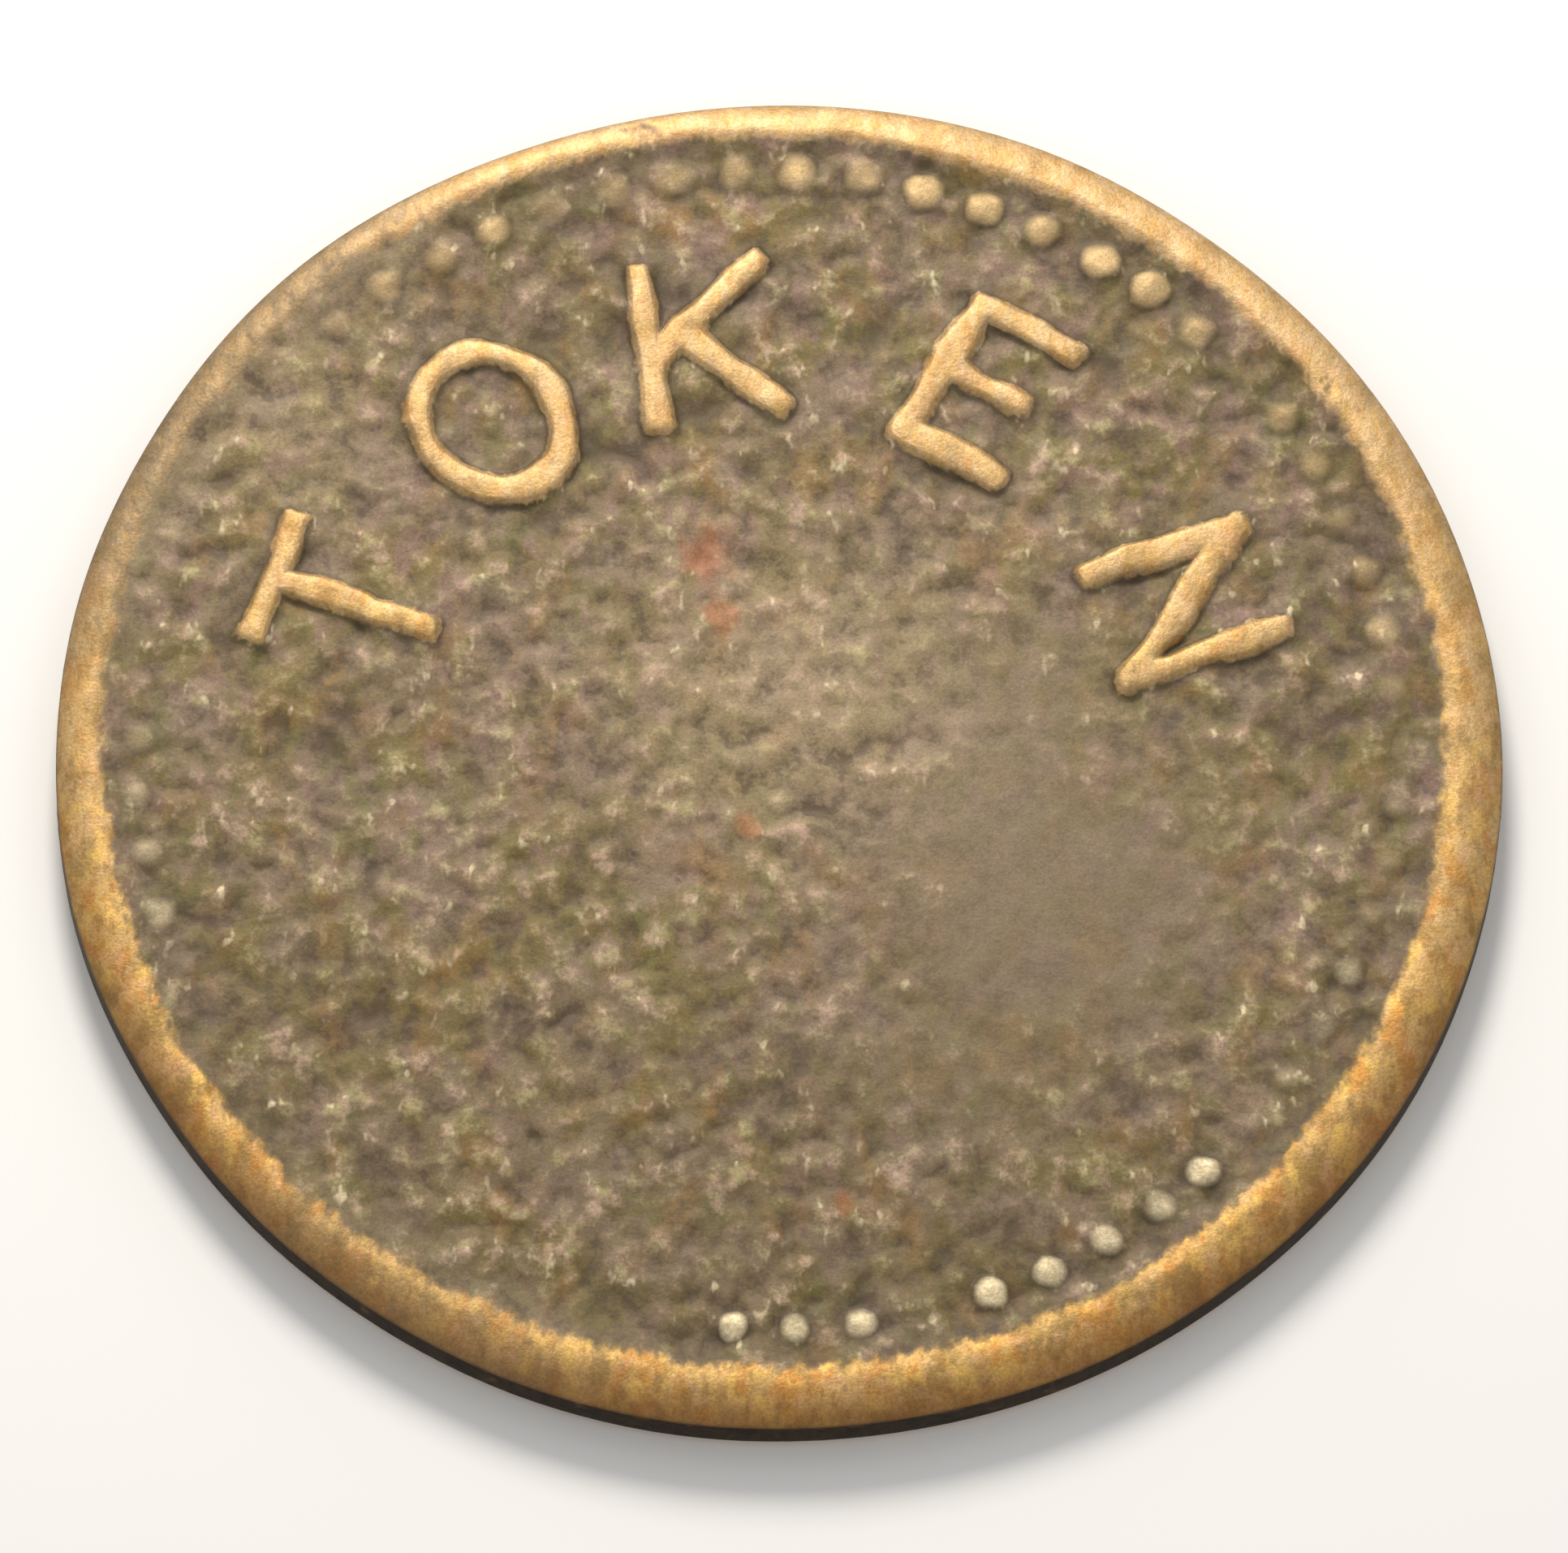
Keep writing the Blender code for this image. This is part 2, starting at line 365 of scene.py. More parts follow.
def rim_maps(x, y, s, angle):
    """0 in the field and 1 on the rim, its inner edge uneven from wear, and the dirt and painted shade
    along its foot.
    """
    uneven = 0.13 * MM * fractal(x, y, 1.1 * MM, 3, 31, 0.45) + 0.08 * MM * noise(x, y, 5.0 * MM, 32)
    inner = RIM_INNER_RADIUS + 0.11 * MM * np.cos(angle) + uneven
    worn_above = 0.25 * MM * arc_share(angle, 135, 30, 22)
    worn_below = 0.42 * MM * arc_share(angle, -80, 75, 40)
    slope = RIM_SLOPE + worn_above + worn_below
    foot_dirt_and_shade = between(s, inner - slope * 0.5 - 1.6 * DIRT_AND_SHADE_REACH, inner - slope * 0.3)
    return between(s, inner - slope * 0.5, inner + slope * 0.5), foot_dirt_and_shade


def spots(x, y, places):
    """Round stains, 1 in the middle of each, with ragged edges."""
    ragged = 1.0 + 0.5 * noise(x, y, 0.35 * MM, 41)
    total = np.zeros(np.shape(x))
    for px, py, radius in places:
        away = np.hypot(x - px * MM, (y - py * MM) * 0.8) / (radius * MM)
        total = np.maximum(total, 1.0 - between(away * ragged, 0.45, 1.25))
    return total


def hill(x, y, px, py, wide, high):
    """A round-topped share of 1 at a place, falling away over a width and a height in millimetres."""
    return np.exp(-(((x / MM - px) / wide) ** 2) - ((y / MM - py) / high) ** 2)


def marks_map(x, y):
    """The height of the ridges and creases near the middle, broken along their length."""
    bent_x = x + 0.16 * MM * noise(x, y, 0.7 * MM, 51)
    bent_y = y + 0.16 * MM * noise(x, y, 0.7 * MM, 52)
    total = np.zeros(np.shape(x))
    for x0, y0, x1, y1, height in MARKS:
        away = to_segment(bent_x, bent_y, (x0 * MM, y0 * MM), (x1 * MM, y1 * MM)) / MARK_WIDTH
        total = total + height * MM * np.exp(-(away**2))
    return total * between(noise(x, y, 0.6 * MM, 53), -0.7, 0.3)


def face_maps(x, y, lettered):
    """Height above the rim's plane and the surface's state, for points of one face seen from outside."""
    sx, sy = (x - STRIKE_X, y - STRIKE_Y) if lettered else (x - STRIKE_X, y + STRIKE_Y)
    seed = 100 if lettered else 500
    s, angle = np.hypot(sx, sy), np.arctan2(sy, sx)

    rim, rim_dirt_and_shade = rim_maps(sx, sy, s, angle)
    beads, bead_dirt_and_shade = bead_maps(sx, sy, lettered)
    glyphs, glyph_dirt_and_shade = legend_maps(sx, sy) if lettered else numeral_maps(sx, sy)

    # The field has stayed smooth right of and below the middle, and half a turn from there on the back
    wx, wy = (sx, sy) if lettered else (-sx, -sy)
    patch = np.zeros(np.shape(x))
    for share, px, py, wide, high in SMOOTH_HILLS:
        patch = np.maximum(patch, share * hill(wx, wy, px, py, wide, high))
    patch = np.clip(1.08 * patch + 0.22 * noise(sx, sy, 1.9 * MM, seed + 1) * patch, 0.0, 1.0)
    rough = 1.0 - 0.80 * patch

    # The grain: soft blobs about half a millimetre wide, with smaller ones on them in clumps
    blobs = fractal(sx, sy, 0.60 * MM, 2, seed + 2)
    knobs = pebbles(sx, sy, 0.50 * MM, seed + 3) - 0.5
    small = pebbles(sx, sy, 0.26 * MM, seed + 4) - 0.5
    clumps = between(noise(sx, sy, 1.8 * MM, seed + 6), -0.45, 0.45)
    grain = rough * (0.60 * blobs + (0.25 + 0.75 * clumps) * (0.38 * knobs + 0.18 * small))
    if lettered:
        grain = grain + marks_map(sx, sy) / MARK_SCALE
    pits = between(fractal(sx, sy, 0.55 * MM, 2, seed + 8), 0.48, 0.80) * rough

    raised = np.maximum(rim, np.maximum(0.7 * beads, glyphs))
    softened = 1.0 - 0.85 * smooth(raised)
    relief = GRAIN_RELIEF * softened * grain - PIT_DEPTH * softened * pits
    relief = relief + SWELL_RELIEF * noise(sx, sy, 3.4 * MM, seed + 9)

    nicks = between(noise(sx, sy, 0.8 * MM, seed + 10), 0.55, 0.9) * rim
    lift = np.maximum(rim * FIELD_DEPTH, np.maximum(beads * BEAD_RELIEF, glyphs * LETTER_RELIEF))
    outward = (np.hypot(x, y) - (outline_radius(np.arctan2(y, x)) - EDGE_WIDTH)) / EDGE_WIDTH
    worn_edge = EDGE_DROP * (1.0 - np.sqrt(1.0 - np.clip(outward, 0.0, 0.99) ** 2))
    height = -FIELD_DEPTH + lift + relief - NICK_DEPTH * nicks - worn_edge

    # Rubbed bright on what stands up, less on the stretches of the rim that have tarnished again
    dull = np.maximum(arc_share(angle, 146, 12, 24), 0.40 * arc_share(angle, 240, 8, 14))
    dull = dull * between(s, 10.2 * MM, 10.9 * MM) * (1.0 if lettered else 0.5)
    rub = np.maximum(between(rim, 0.42, 1.0), between(glyphs, 0.30, 0.72))
    rub = rub * (1.0 - 0.35 * dull) * (1.0 - 0.5 * nicks)
    pale = hill(wx, wy, 0.6, 0.9, 3.4, 3.0) + 0.5 * hill(wx, wy, -7.8, 5.6, 2.2, 2.6) + 1.2 * dull
    return {
        "height": height,
        "rub": rub,
        "bead": np.clip(beads, 0.0, 1.0),
        "foot_dirt_and_shade": np.maximum(0.30 * rim_dirt_and_shade, np.maximum(bead_dirt_and_shade, glyph_dirt_and_shade)),
        "grain": np.clip(0.5 + 0.9 * grain - 0.25 * pits, 0.0, 1.0),
        "low": np.clip(0.5 - 0.5 * sy / (11.0 * MM), 0.0, 1.0),
        "patch": patch,
        "pale": np.clip(pale, 0.0, 1.0),
        "dull": dull,
        "edge": smooth(outward),
        "copper": spots(sx, sy, COPPER_SPOTS if lettered else COPPER_SPOTS[:1]),
    }


# ---------------------------------------------------------------- the mesh


def outline_radius(angle):
    """The rolled outline, round to within a tenth of a millimetre, with slight corners and flats."""
    corners = 0.045 * np.cos(6 * angle - math.radians(90)) * arc_share(angle, 105, 40, 25)
    flat = -0.070 * arc_share(angle, 222, 8, 22)
    sway = 0.014 * np.cos(2 * angle - 0.6) + 0.010 * np.cos(3 * angle + 1.1) + 0.008 * np.cos(11 * angle)
    return RADIUS - 0.020 * MM + (corners + flat + sway) * MM


def disc_points(cells):
    """A square grid of points spread evenly over the unit disc, and the loop round its border."""
    t = np.linspace(-1.0, 1.0, cells + 1)
    a, b = np.meshgrid(t, t, indexing="ij")
    wide = np.abs(a) >= np.abs(b)
    radius = np.where(wide, a, b)
    ratio = np.where(wide, b, a) / np.where(radius == 0.0, 1.0, radius)
    phi = np.where(wide, math.pi / 4 * ratio, math.pi / 2 - math.pi / 4 * ratio)
    points = np.stack([radius * np.cos(phi), radius * np.sin(phi)], -1).reshape(-1, 2)
    index = np.arange((cells + 1) ** 2).reshape(cells + 1, cells + 1)
    loop = np.concatenate([index[:-1, 0], index[-1, :-1], index[:0:-1, -1], index[0, :0:-1]])
    quads = np.stack(
        [index[:-1, :-1], index[1:, :-1], index[1:, 1:], index[:-1, 1:]], -1
    ).reshape(-1, 4)
    return points, quads, loop


def wall_rings(top, bottom, outer, angle):
    """The points of the worn edge and side wall between the two faces' borders, ring by ring."""
    rings = []
    arc_steps, wall_steps = 5, 7
    high, low = THICKNESS - EDGE_DROP, EDGE_DROP
    turns = [FACE_END + (math.pi / 2 - FACE_END) * step / arc_steps for step in range(1, arc_steps + 1)]
    face_drop = EDGE_DROP * math.cos(FACE_END)
    for turn in turns:
        share = EDGE_DROP * math.cos(turn) / face_drop
        rings.append((outer - EDGE_WIDTH * (1 - math.sin(turn)), high + (top - high) * share))
    for step in range(1, wall_steps):
        z = high + (low - high) * step / wall_steps + 0.0 * angle
        around = angle * RADIUS
        dents = 0.012 * MM * noise(around, z, 0.40 * MM, 72)
        drags = 0.008 * MM * noise(around, z * 0.2, 0.22 * MM, 73)
        rings.append((outer + (dents + drags), z))
    for turn in reversed(turns):
        share = EDGE_DROP * math.cos(turn) / face_drop
        rings.append((outer - EDGE_WIDTH * (1 - math.sin(turn)), low + (bottom - low) * share))
    return rings


def token_mesh():
    """The closed high-detail mesh, before it is thinned."""
    disc, quads, loop = disc_points(FACE_CELLS)
    angle = np.arctan2(disc[:, 1], disc[:, 0])
    outer = outline_radius(angle)
    flat = outer - EDGE_WIDTH * (1 - math.sin(FACE_END))
    x, y = disc[:, 0] * flat, disc[:, 1] * flat
    top = np.stack([x, y, THICKNESS + face_maps(x, y, True)["height"]], -1)
    bottom = np.stack([x, y, -face_maps(x, -y, False)["height"]], -1)
    count, around = len(disc), len(loop)
    rings = wall_rings(top[loop, 2], bottom[loop, 2], outer[loop], angle[loop])
    wall = [
        np.stack([r * np.cos(angle[loop]), r * np.sin(angle[loop]), z + 0.0 * r], -1) for r, z in rings
    ]
    points = np.concatenate([top, bottom, *wall])
    next_round = np.roll(np.arange(around), -1)
    loops = [loop] + [2 * count + k * around + np.arange(around) for k in range(len(rings))]
    loops.append(loop + count)
    bands = [
        np.stack([upper, lower, lower[next_round], upper[next_round]], -1)
        for upper, lower in zip(loops, loops[1:])
    ]
    faces = np.concatenate([quads, quads[:, ::-1] + count, *bands])
    points[:, 2] -= points[:, 2].min()
    mesh = bpy.data.meshes.new("token_surface")
    mesh.from_pydata(points.tolist(), [], faces.tolist())
    mesh.update()
    return mesh


def thin(obj, triangles):
    """Collapses the smallest edges until that many triangles are left."""
    mesh = obj.data
    mesh.calc_loop_triangles()
    ratio = triangles / len(mesh.loop_triangles)
    if ratio >= 1.0:
        return
    fewer = obj.modifiers.new("thin", "DECIMATE")
    fewer.ratio = ratio
    graph = bpy.context.evaluated_depsgraph_get()
    obj.data = bpy.data.meshes.new_from_object(obj.evaluated_get(graph), depsgraph=graph)
    obj.modifiers.clear()
    bpy.data.meshes.remove(mesh)


def values(items, name, width, kind=np.float64):
    """One property of every vertex, edge or face, as rows."""
    found = np.empty(len(items) * width, kind)
    items.foreach_get(name, found)
    return found.reshape(-1, width)


def unfold(mesh):
    """Moves the points of the few faces that thinning turned over to the middle of their neighbours."""
    ends = values(mesh.edges, "vertices", 2, np.int32)
    count = len(mesh.vertices)
    degree = np.bincount(ends.ravel(), minlength=count)
    for _ in range(UNFOLD_ROUNDS):
        places = values(mesh.vertices, "co", 3)
        normals = values(mesh.polygons, "normal", 3)
        centres = values(mesh.polygons, "center", 3)
        within = np.hypot(centres[:, 0], centres[:, 1]) < RADIUS - 0.4 * MM
        outward = normals[:, 2] * np.sign(centres[:, 2] - THICKNESS / 2)
        folded = np.nonzero(within & (outward < STEEPEST))[0]
        if len(folded) == 0:
            return
        moved = sorted({index for face in folded for index in mesh.polygons[face].vertices})
        middles = np.zeros((count, 3))
        np.add.at(middles, ends[:, 0], places[ends[:, 1]])
        np.add.at(middles, ends[:, 1], places[ends[:, 0]])
        places[moved] = middles[moved] / degree[moved, None]
        mesh.vertices.foreach_set("co", places.ravel())
        mesh.update()


# What each point says of its surface, beside its height
STATES = ("rub", "bead", "foot_dirt_and_shade", "grain", "low", "patch", "pale", "dull", "edge", "copper")


def add_attributes(mesh):
    """Writes the surface's state to each point, from its place."""
    x, y, z = values(mesh.vertices, "co", 3, np.float32).astype(float).T
    upper = face_maps(x, y, True)
    lower = face_maps(x, -y, False)
    above = z > THICKNESS / 2
    r = np.hypot(x, y)
    angle = np.arctan2(y, x)
    outer = outline_radius(angle)
    down = THICKNESS / 2 - np.abs(z - THICKNESS / 2)
    far_down = between(down, 0.55 * EDGE_DROP, 0.95 * EDGE_DROP)
    far_out = between(r, outer - 0.20 * MM, outer - 0.11 * MM)
    states = {name: np.where(above, upper[name], lower[name]) for name in STATES}
    states["wall"] = far_down * far_out
    for name, value in states.items():
        attribute = mesh.attributes.new(name, "FLOAT", "POINT")
        attribute.data.foreach_set("value", value.astype(np.float32))


# ---------------------------------------------------------------- the material


def srgb(red, green, blue):
    """Scene-linear colour from 0 to 255 screen values."""
    linear = []
    for value in (red, green, blue):
        v = value / 255
        linear.append(v / 12.92 if v <= 0.04045 else ((v + 0.055) / 1.055) ** 2.4)
    return (*linear, 1.0)


class Nodes:
    """Short calls for building a node tree."""

    def __init__(self, material):
        material.use_nodes = True
        self.tree = material.node_tree
        self.shader = self.tree.nodes["Principled BSDF"]
        self.place = self.tree.nodes.new("ShaderNodeTexCoord").outputs["Object"]

    def new(self, kind, **settings):
        node = self.tree.nodes.new(kind)
        for name, value in settings.items():
            setattr(node, name, value)
        return node

    def feed(self, socket, value):
        if isinstance(value, bpy.types.NodeSocket):
            self.tree.links.new(value, socket)
        else:
            socket.default_value = value

    def attribute(self, name):
        return self.new("ShaderNodeAttribute", attribute_name=name).outputs["Fac"]

    def noise(self, cell, detail=2.0, roughness=0.5, stretch=None, offset=0.0):
        """Noise from 0 to 1 whose features are about one cell across, in metres."""
        node = self.new("ShaderNodeTexNoise")
        node.inputs["Scale"].default_value = 1.0 / cell
        node.inputs["Detail"].default_value = detail
        node.inputs["Roughness"].default_value = roughness
        mapping = self.new("ShaderNodeMapping")
        mapping.inputs["Scale"].default_value = stretch or (1.0, 1.0, 1.0)
        mapping.inputs["Location"].default_value = (offset, 0.0, 0.0)
        self.feed(mapping.inputs["Vector"], self.place)
        self.feed(node.inputs["Vector"], mapping.outputs["Vector"])
        return node.outputs["Fac"]

    def pebbles(self, cell):
        """1 at the middle of each grain about one cell across, in metres, and near 0 between them."""
        node = self.new("ShaderNodeTexVoronoi")
        node.inputs["Scale"].default_value = 1.0 / cell
        self.feed(node.inputs["Vector"], self.place)
        return self.ramp(node.outputs["Distance"], 0.0, 0.8, 1.0, 0.0)

    def ramp(self, value, low, high, to_low=0.0, to_high=1.0):
        node = self.new("ShaderNodeMapRange", interpolation_type="SMOOTHSTEP")
        self.feed(node.inputs["Value"], value)
        limits = {"From Min": low, "From Max": high, "To Min": to_low, "To Max": to_high}
        for name, number in limits.items():
            node.inputs[name].default_value = number
        return node.outputs["Result"]

    def maths(self, operation, first, second):
        node = self.new("ShaderNodeMath", operation=operation)
        self.feed(node.inputs[0], first)
        self.feed(node.inputs[1], second)
        return node.outputs[0]

    def mix(self, factor, first, second):
        node = self.new("ShaderNodeMix", data_type="RGBA")
        self.feed(node.inputs["Factor"], factor)
        self.feed(node.inputs[6], first)
        self.feed(node.inputs[7], second)
        return node.outputs[2]


# Noise stretched this way makes blotches that are taller than wide on the faces
UPRIGHT = (1.0, 0.6, 1.0)


def patina_colour(n, state, speck, pebble):
    """Brown patina drifting to olive, mauve and rust, dark in the hollows and pale on the grains."""
    drift = n.ramp(n.noise(1.3 * MM, 4.0, 0.6), 0.36, 0.64)
    colour = n.mix(drift, srgb(122, 106, 55), srgb(135, 114, 95))
    green = n.ramp(n.noise(0.55 * MM, 3.0, 0.5, stretch=UPRIGHT, offset=3.0), 0.50, 0.70, 0.0, 0.72)
    colour = n.mix(green, colour, srgb(110, 106, 52))
    rust = n.ramp(n.noise(0.9 * MM, 3.0, 0.6, stretch=UPRIGHT, offset=7.0), 0.50, 0.72, 0.0, 0.70)
    colour = n.mix(rust, colour, srgb(148, 108, 52))
    mauve = n.ramp(n.noise(0.50 * MM, 3.0, 0.5, stretch=UPRIGHT, offset=11.0), 0.50, 0.70)
    mauve = n.maths("MULTIPLY", mauve, n.ramp(state["low"], 0.3, 0.9, 0.70, 0.38))
    colour = n.mix(mauve, colour, srgb(146, 114, 106))
    shade = n.ramp(n.noise(0.75 * MM, 3.0, 0.6, stretch=UPRIGHT, offset=29.0), 0.56, 0.70)
    shade = n.maths("MULTIPLY", shade, n.ramp(state["patch"], 0.1, 0.6, 0.55, 0.10))
    colour = n.mix(shade, colour, srgb(84, 69, 54))
    colour = n.mix(n.maths("MULTIPLY", state["patch"], 0.70), colour, srgb(136, 118, 96))
    colour = n.mix(n.maths("MULTIPLY", state["pale"], 0.60), colour, srgb(171, 150, 118))
    # Painted shade: the patina darker, in an olive tone, towards the bottom of the face, where the light
    # falls off
    colour = n.mix(n.ramp(state["low"], 0.55, 0.95, 0.0, 0.26), colour, srgb(96, 80, 38))

    # Clouds a few millimetres across: browner, and with fewer pale grains
    cloud = n.ramp(n.noise(2.1 * MM, 3.0, 0.55, offset=41.0), 0.58, 0.36)
    clear = n.maths("MAXIMUM", state["patch"], state["pale"])
    cloud = n.maths("MULTIPLY", cloud, n.ramp(clear, 0.1, 0.7, 1.0, 0.15))
    colour = n.mix(n.maths("MULTIPLY", cloud, 0.24), colour, srgb(100, 84, 47))

    # Grains: the geometry's own and the finer ones, rubbed pale on top
    fine = n.maths("MULTIPLY", pebble, n.ramp(state["patch"], 0.1, 0.8, 0.26, 0.08))
    tips = n.maths("ADD", n.maths("MULTIPLY", state["grain"], 0.80), fine)
    tips = n.maths("ADD", tips, n.ramp(speck, 0.3, 0.7, -0.13, 0.13))
    tips = n.maths("SUBTRACT", tips, n.maths("MULTIPLY", cloud, 0.10))
    warm = n.ramp(n.noise(0.40 * MM, 2.0, 0.5, offset=17.0), 0.44, 0.56)
    pale = n.mix(warm, srgb(192, 178, 130), srgb(208, 176, 152))
    colour = n.mix(n.ramp(tips, 0.52, 1.02, 0.0, 0.70), colour, pale)
    hollow = n.ramp(state["patch"], 0.1, 0.8, 1.0, 0.50)
    hollow = n.maths("MULTIPLY", n.ramp(tips, 0.52, 0.18, 0.0, 0.66), hollow)
    colour = n.mix(hollow, colour, srgb(72, 56, 40))
    # Darker round the feet of the letters, beads and rim: dirt, and painted shade standing for the
    # shadow at their feet
    colour = n.mix(n.maths("MULTIPLY", state["foot_dirt_and_shade"], 0.50), colour, srgb(62, 49, 30))
    return n.mix(n.maths("MULTIPLY", state["copper"], 0.52), colour, srgb(176, 100, 50))


def brass_colour(n, state, speck):
    """Rubbed brass: cream at the top of the face, browner gold lower down, partly as painted shade,
    finely streaked.
    """
    # Partly painted shade: darker, browner brass towards the bottom of the face stands for the light
    # falling off there; the rest is tarnish
    colour = n.mix(n.ramp(state["low"], 0.05, 0.95), srgb(208, 179, 137), srgb(192, 159, 101))
    streak = n.noise(0.16 * MM, 3.0, 0.6, stretch=(1.0, 0.30, 1.0))
    colour = n.mix(n.ramp(streak, 0.40, 0.62, 0.0, 0.60), colour, srgb(202, 163, 100))
    scuff = n.noise(0.14 * MM, 3.0, 0.65, stretch=(1.0, 0.40, 1.0), offset=33.0)
    scuffed = n.ramp(state["low"], 0.1, 0.8, 0.12, 0.55)
    colour = n.mix(n.maths("MULTIPLY", n.ramp(scuff, 0.50, 0.66), scuffed), colour, srgb(150, 108, 58))
    gold = n.noise(0.36 * MM, 3.0, 0.6, stretch=UPRIGHT, offset=25.0)
    gilt = n.ramp(state["low"], 0.2, 0.8, 0.10, 0.65)
    colour = n.mix(n.maths("MULTIPLY", n.ramp(gold, 0.48, 0.62), gilt), colour, srgb(222, 184, 98))
    amber = n.noise(0.42 * MM, 3.0, 0.6, stretch=UPRIGHT, offset=5.0)
    gilded = n.ramp(state["low"], 0.2, 0.8, 0.35, 0.75)
    colour = n.mix(n.maths("MULTIPLY", n.ramp(amber, 0.48, 0.64), gilded), colour, srgb(184, 128, 62))
    olive = n.noise(0.50 * MM, 3.0, 0.6, stretch=UPRIGHT, offset=9.0)
    dulled = n.ramp(state["low"], 0.2, 0.9, 0.30, 0.68)
    colour = n.mix(n.maths("MULTIPLY", n.ramp(olive, 0.48, 0.62), dulled), colour, srgb(140, 116, 70))
    blush = n.noise(0.46 * MM, 3.0, 0.6, offset=13.0)
    colour = n.mix(n.ramp(blush, 0.52, 0.66, 0.0, 0.35), colour, srgb(220, 178, 138))
    colour = n.mix(n.ramp(speck, 0.30, 0.46, 0.22, 0.0), colour, srgb(118, 88, 50))
    # Painted shade: the worn outer edge browner and darker on the lower side of the face, where it turns
    # away from the light
    lower_edge_shade = n.maths("MULTIPLY", state["edge"], n.ramp(state["low"], 0.52, 0.85, 0.0, 0.60))
    colour = n.mix(lower_edge_shade, colour, srgb(142, 92, 50))
    cloudy = n.ramp(n.noise(0.45 * MM, 3.0, 0.6, offset=21.0), 0.35, 0.65, 0.60, 0.95)
    return n.mix(n.maths("MULTIPLY", state["dull"], cloudy), colour, srgb(138, 118, 90))


def wall_tarnish_and_shade(n):
    """The rolled edge: near-black brown, partly tarnish and partly painted shade standing for the shade
    the wall lies in, with drag marks across it and brass showing here and there.
    """
    drag = n.noise(0.16 * MM, 3.0, 0.6, stretch=(1.0, 1.0, 0.15))
    colour = n.mix(n.ramp(drag, 0.35, 0.65), srgb(20, 14, 10), srgb(42, 30, 20))
    worn = n.noise(0.7 * MM, 3.0, 0.6, offset=2.0)
    return n.mix(n.ramp(worn, 0.62, 0.76, 0.0, 0.6), colour, srgb(120, 90, 52))


def token_material():
    material = bpy.data.materials.new("worn_brass")
    n = Nodes(material)
    state = {name: n.attribute(name) for name in (*STATES, "wall")}
    speck = n.noise(0.13 * MM, 3.0, 0.65)
    dust = n.noise(0.05 * MM, 2.0, 0.6)
    pebble = n.pebbles(0.40 * MM)

    # Where the patina is worn through: the raised parts; and glints on the field's grains, painted
    # highlights laid on as pale specks that are also made more metallic
    uneven = n.ramp(n.noise(0.20 * MM, 2.0, 0.5, stretch=UPRIGHT, offset=19.0), 0.3, 0.7, -0.24, 0.24)
    uneven = n.maths("MULTIPLY", uneven, n.ramp(state["rub"], 0.0, 0.30))
    bright = n.ramp(n.maths("ADD", state["rub"], uneven), 0.06, 0.90)
    glint = n.ramp(n.noise(0.17 * MM, 1.0, 0.5, stretch=UPRIGHT, offset=4.0), 0.60, 0.76, 0.0, 0.75)
    glint = n.maths("MULTIPLY", glint, n.ramp(state["grain"], 0.55, 0.85))
    bead = n.ramp(state["bead"], 0.10, 0.72, 0.0, 0.90)
    bead_tone = n.mix(n.ramp(state["low"], 0.25, 0.75), srgb(212, 182, 134), srgb(238, 224, 188))
    bead_tone = n.mix(n.ramp(speck, 0.36, 0.62, 0.0, 0.45), bead_tone, srgb(186, 160, 112))

    patina = patina_colour(n, state, speck, pebble)
    # Painted highlight: the glints as pale cream specks on the patina
    patina = n.mix(glint, patina, srgb(220, 204, 170))
    patina = n.mix(bead, patina, bead_tone)
    colour = n.mix(bright, patina, brass_colour(n, state, speck))
    # The side wall in its near-black colour: tarnish, and painted shade
    colour = n.mix(n.maths("MULTIPLY", state["wall"], 0.96), colour, wall_tarnish_and_shade(n))
    colour = n.mix(n.ramp(dust, 0.32, 0.68, 0.0, 0.24), colour, srgb(62, 52, 38))

    shown = n.maths("MAXIMUM", bright, n.maths("MULTIPLY", n.maths("MAXIMUM", glint, bead), 0.6))
    shown = n.maths("MULTIPLY", shown, n.ramp(state["wall"], 0.0, 1.0, 1.0, 0.20))
    n.feed(n.shader.inputs["Base Color"], colour)
    bare_metal = n.ramp(shown, 0.0, 1.0, 0.12, 0.78)
    wall_metal = n.maths("MULTIPLY", state["wall"], 0.9)
    n.feed(n.shader.inputs["Metallic"], n.maths("MAXIMUM", bare_metal, wall_metal))
    n.feed(n.shader.inputs["Roughness"], n.ramp(shown, 0.0, 1.0, 0.62, 0.56))

    smoothed = n.maths("ADD", state["patch"], bright)
    grains = n.maths("MULTIPLY", pebble, n.ramp(smoothed, 0.0, 0.9, 0.9, 0.0))
    height = n.maths("ADD", n.maths("MULTIPLY", speck, 0.8), n.maths("MULTIPLY", dust, 0.3))
    bump = n.new("ShaderNodeBump")
    bump.inputs["Strength"].default_value = 0.58
    bump.inputs["Distance"].default_value = 0.022 * MM
    n.feed(bump.inputs["Height"], n.maths("ADD", height, grains))
    n.feed(n.shader.inputs["Normal"], bump.outputs["Normal"])
    return material


def make_token():
    obj = bpy.data.objects.new("token_surface", token_mesh())
    bpy.context.scene.collection.objects.link(obj)
    thin(obj, KEPT_TRIANGLES)
    unfold(obj.data)
    add_attributes(obj.data)
    obj.data.materials.append(token_material())
    obj.data.shade_smooth()
    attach(obj, "root")
    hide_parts("struck_token")


# ---------------------------------------------------------------- the studio


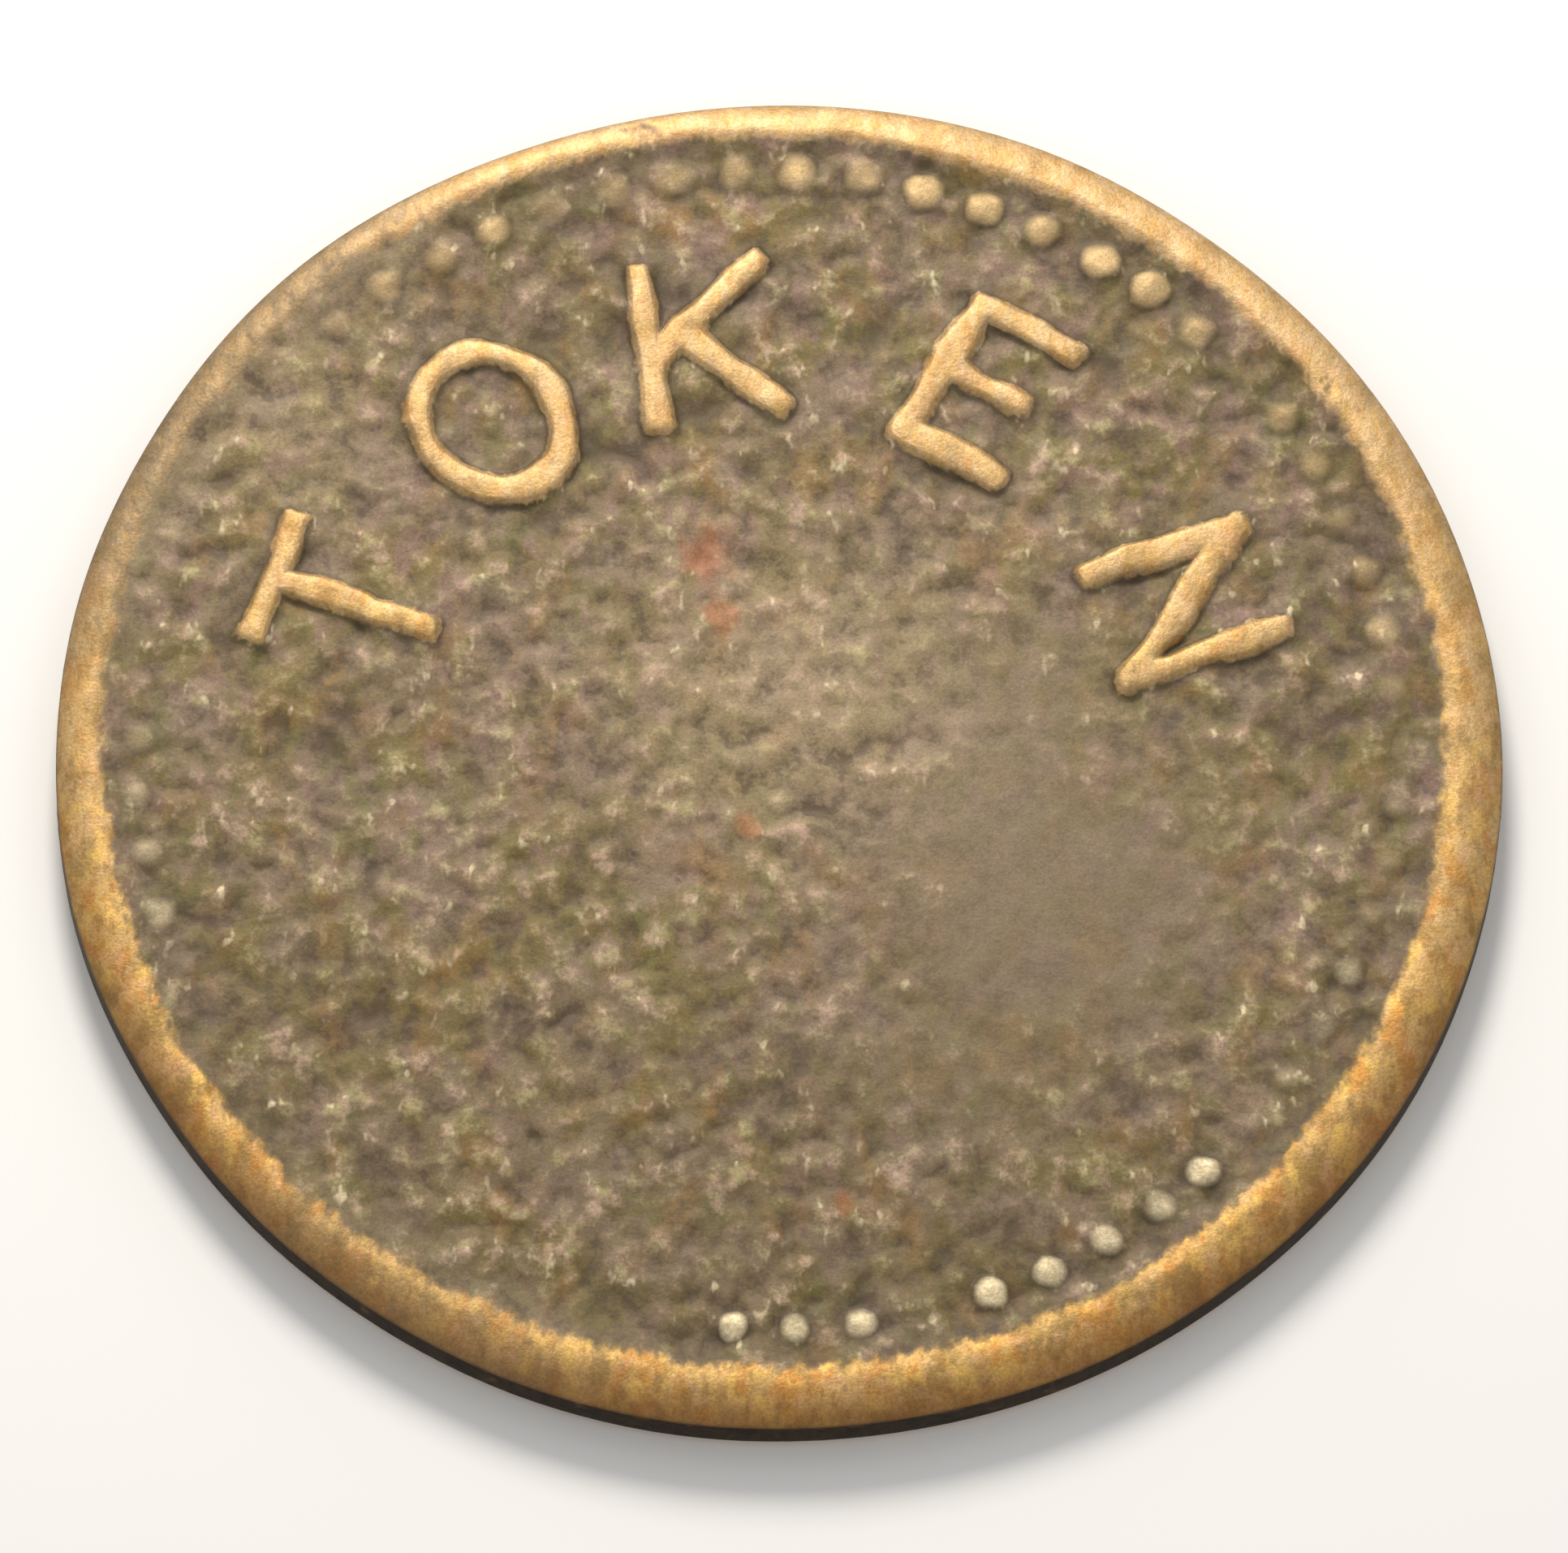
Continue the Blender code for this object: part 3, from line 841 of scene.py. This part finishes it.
def make_floor():
    half = 1.5
    corners = [(-half, -half, 0), (half, -half, 0), (half, half, 0), (-half, half, 0)]
    mesh = bpy.data.meshes.new("floor")
    mesh.from_pydata(corners, [], [(0, 1, 2, 3)])
    floor = bpy.data.objects.new("floor", mesh)
    bpy.context.scene.collection.objects.link(floor)
    material = bpy.data.materials.new("pale_floor")
    material.use_nodes = True
    shader = material.node_tree.nodes["Principled BSDF"]
    shader.inputs["Base Color"].default_value = (0.93, 0.93, 0.93, 1.0)
    shader.inputs["Roughness"].default_value = 0.9
    shader.inputs["Specular IOR Level"].default_value = 0.1
    floor.data.materials.append(material)


def area_light(name, place, target, size, power, colour):
    data = bpy.data.lights.new(name, "AREA")
    data.shape = "DISK"
    data.size = size
    data.energy = power
    data.color = colour
    obj = bpy.data.objects.new(name, data)
    bpy.context.scene.collection.objects.link(obj)
    obj.location = place
    obj.rotation_mode = "QUATERNION"
    obj.rotation_quaternion = (Vector(target) - Vector(place)).to_track_quat("-Z", "Y")


def make_lights():
    key_distance = 0.11
    elevation, azimuth = math.radians(42), math.radians(8)
    place = Vector(
        (
            -key_distance * math.cos(elevation) * math.sin(azimuth),
            key_distance * math.cos(elevation) * math.cos(azimuth),
            key_distance * math.sin(elevation),
        )
    )
    warm = (1.0, 0.93, 0.82)
    area_light("key", place, target=(0.0, 0.0, 0.0), size=0.040, power=0.105, colour=warm)
    world = bpy.data.worlds.new("studio")
    bpy.context.scene.world = world
    world.use_nodes = True
    background = world.node_tree.nodes["Background"]
    background.inputs["Color"].default_value = (1.0, 0.985, 0.96, 1.0)
    background.inputs["Strength"].default_value = 0.58


def make_camera():
    """A long lens about 24 degrees off the face's normal, on the side of the letters' feet."""
    tilt, turn, roll = math.radians(23.6), math.radians(-91.2), math.radians(0.5)
    distance = 20 * RADIUS
    middle = Vector((0.0, 0.0, THICKNESS))
    target = middle + Vector((0.007, -0.040, 0.0)) * RADIUS
    place = middle + distance * Vector(
        (math.sin(tilt) * math.cos(turn), math.sin(tilt) * math.sin(turn), math.cos(tilt))
    )
    data = bpy.data.cameras.new("camera")
    data.sensor_width = 36.0
    data.lens = 332.6
    data.clip_start = 0.01
    data.clip_end = 10.0
    camera = bpy.data.objects.new("camera", data)
    bpy.context.scene.collection.objects.link(camera)
    back = (place - target).normalized()
    across = Vector((0.0, 1.0, 0.0)).cross(back).normalized()
    up = back.cross(across)
    camera.location = place
    camera.rotation_mode = "QUATERNION"
    across, up = (
        math.cos(roll) * across + math.sin(roll) * up,
        -math.sin(roll) * across + math.cos(roll) * up,
    )
    camera.rotation_quaternion = Matrix((across, up, back)).transposed().to_quaternion()
    bpy.context.scene.camera = camera


make_token()
make_floor()
make_lights()
make_camera()
bpy.context.scene.view_settings.view_transform = "Standard"
